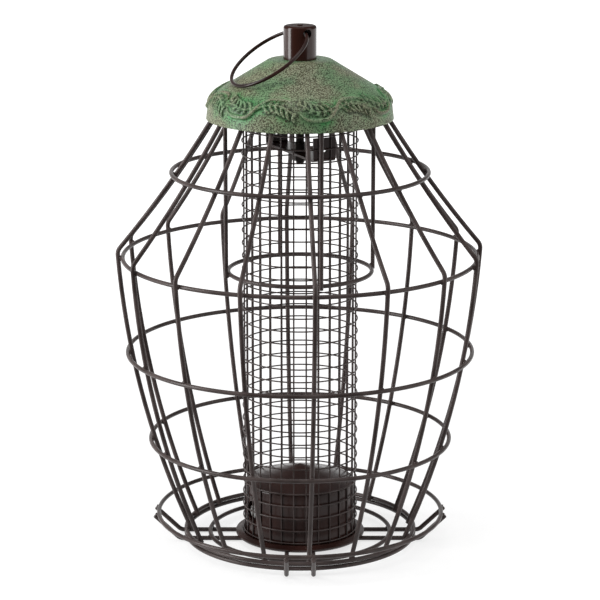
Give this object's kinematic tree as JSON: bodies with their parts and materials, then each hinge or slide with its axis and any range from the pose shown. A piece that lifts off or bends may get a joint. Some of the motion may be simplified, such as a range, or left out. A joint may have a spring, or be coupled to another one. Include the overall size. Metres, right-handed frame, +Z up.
{
  "type": "caged hanging bird feeder",
  "caption": "Hanging bird feeder: a mesh seed tube on a wire tray inside a bulging wire cage, under a pressed roof with a screw cap and a hanging ring.",
  "frame": {"origin": "on the tube's axis, at the underside of the tray's straight wires", "axes": "+Z up along the tube, +Y from the front of the feeder to its back, +X to the right seen from the front"},
  "size_m": [0.249, 0.249, 0.358],
  "materials": {
    "cage_coating": "dark brown powder coat, half gloss",
    "tube_coating": "dark brown coating, half gloss",
    "verdigris": "mottled green patina paint over dark brown",
    "cap_coating": "dark brown coating, glossy",
    "bright_steel": "bright",
    "plated_steel": "zinc plated"
  },
  "bodies": {
    "tray_and_tube": {"tray_cross_bar_front": "cage_coating", "tray_cross_bar_back": "cage_coating", "tray_long_bar_left": "cage_coating", "tray_long_bar_right": "cage_coating", "tray_outer_ring": "cage_coating", "tray_middle_ring": "cage_coating", "tray_inner_ring": "cage_coating", "tube_flange": "tube_coating", "tube_cup": "tube_coating", "screw_pocket": "tube_coating", "pocket_washer": "bright_steel", "pocket_screw": "bright_steel", "screw_post": "plated_steel", "tube_mesh_uprights": "tube_coating", "tube_mesh_lower_hoops": "tube_coating", "tube_mesh_upper_hoops": "tube_coating", "tube_top_band": "tube_coating", "hanger_bridge": "tube_coating", "hanger_stud": "plated_steel", "stud_nuts": "plated_steel"},
    "cage": {"cage_upright_01": "cage_coating", "cage_upright_02": "cage_coating", "cage_upright_03": "cage_coating", "cage_upright_04": "cage_coating", "cage_upright_05": "cage_coating", "cage_upright_06": "cage_coating", "cage_upright_07": "cage_coating", "cage_upright_08": "cage_coating", "cage_upright_09": "cage_coating", "cage_upright_10": "cage_coating", "cage_upright_11": "cage_coating", "cage_upright_12": "cage_coating", "cage_upright_13": "cage_coating", "cage_upright_14": "cage_coating", "cage_upright_15": "cage_coating", "cage_upright_16": "cage_coating", "cage_top_ring": "cage_coating", "cage_upper_ring": "cage_coating", "cage_shoulder_ring": "cage_coating", "cage_belly_ring": "cage_coating", "cage_lower_ring": "cage_coating", "cage_bottom_ring": "cage_coating", "guide_ring": "cage_coating", "guide_rod_1": "cage_coating", "guide_rod_2": "cage_coating", "guide_rod_3": "cage_coating", "guide_rod_4": "cage_coating"},
    "roof": {"roof": "verdigris"},
    "cap": {"cap": "cap_coating"},
    "hanging_ring": {"hanging_ring": "cap_coating"}
  },
  "joints": [
    {"name": "cage_lift", "type": "slide", "parent": "tray_and_tube", "child": "cage", "axis": [0, 0, 1], "range_m": [0, 0.1]},
    {"name": "roof_lift", "type": "slide", "parent": "cage", "child": "roof", "axis": [0, 0, 1], "range_m": [0, 0.06]},
    {"name": "cap_turn", "type": "hinge", "parent": "roof", "child": "cap", "pos_m": [0, 0, 0.33518], "axis": [0, 0, 1], "continuous": true},
    {"name": "hanging_ring_swing", "type": "hinge", "parent": "cap", "child": "hanging_ring", "pos_m": [0, 0, 0.35288], "axis": [-0.454, 0.891, 0], "range_deg": [0, 249.1]}
  ]
}
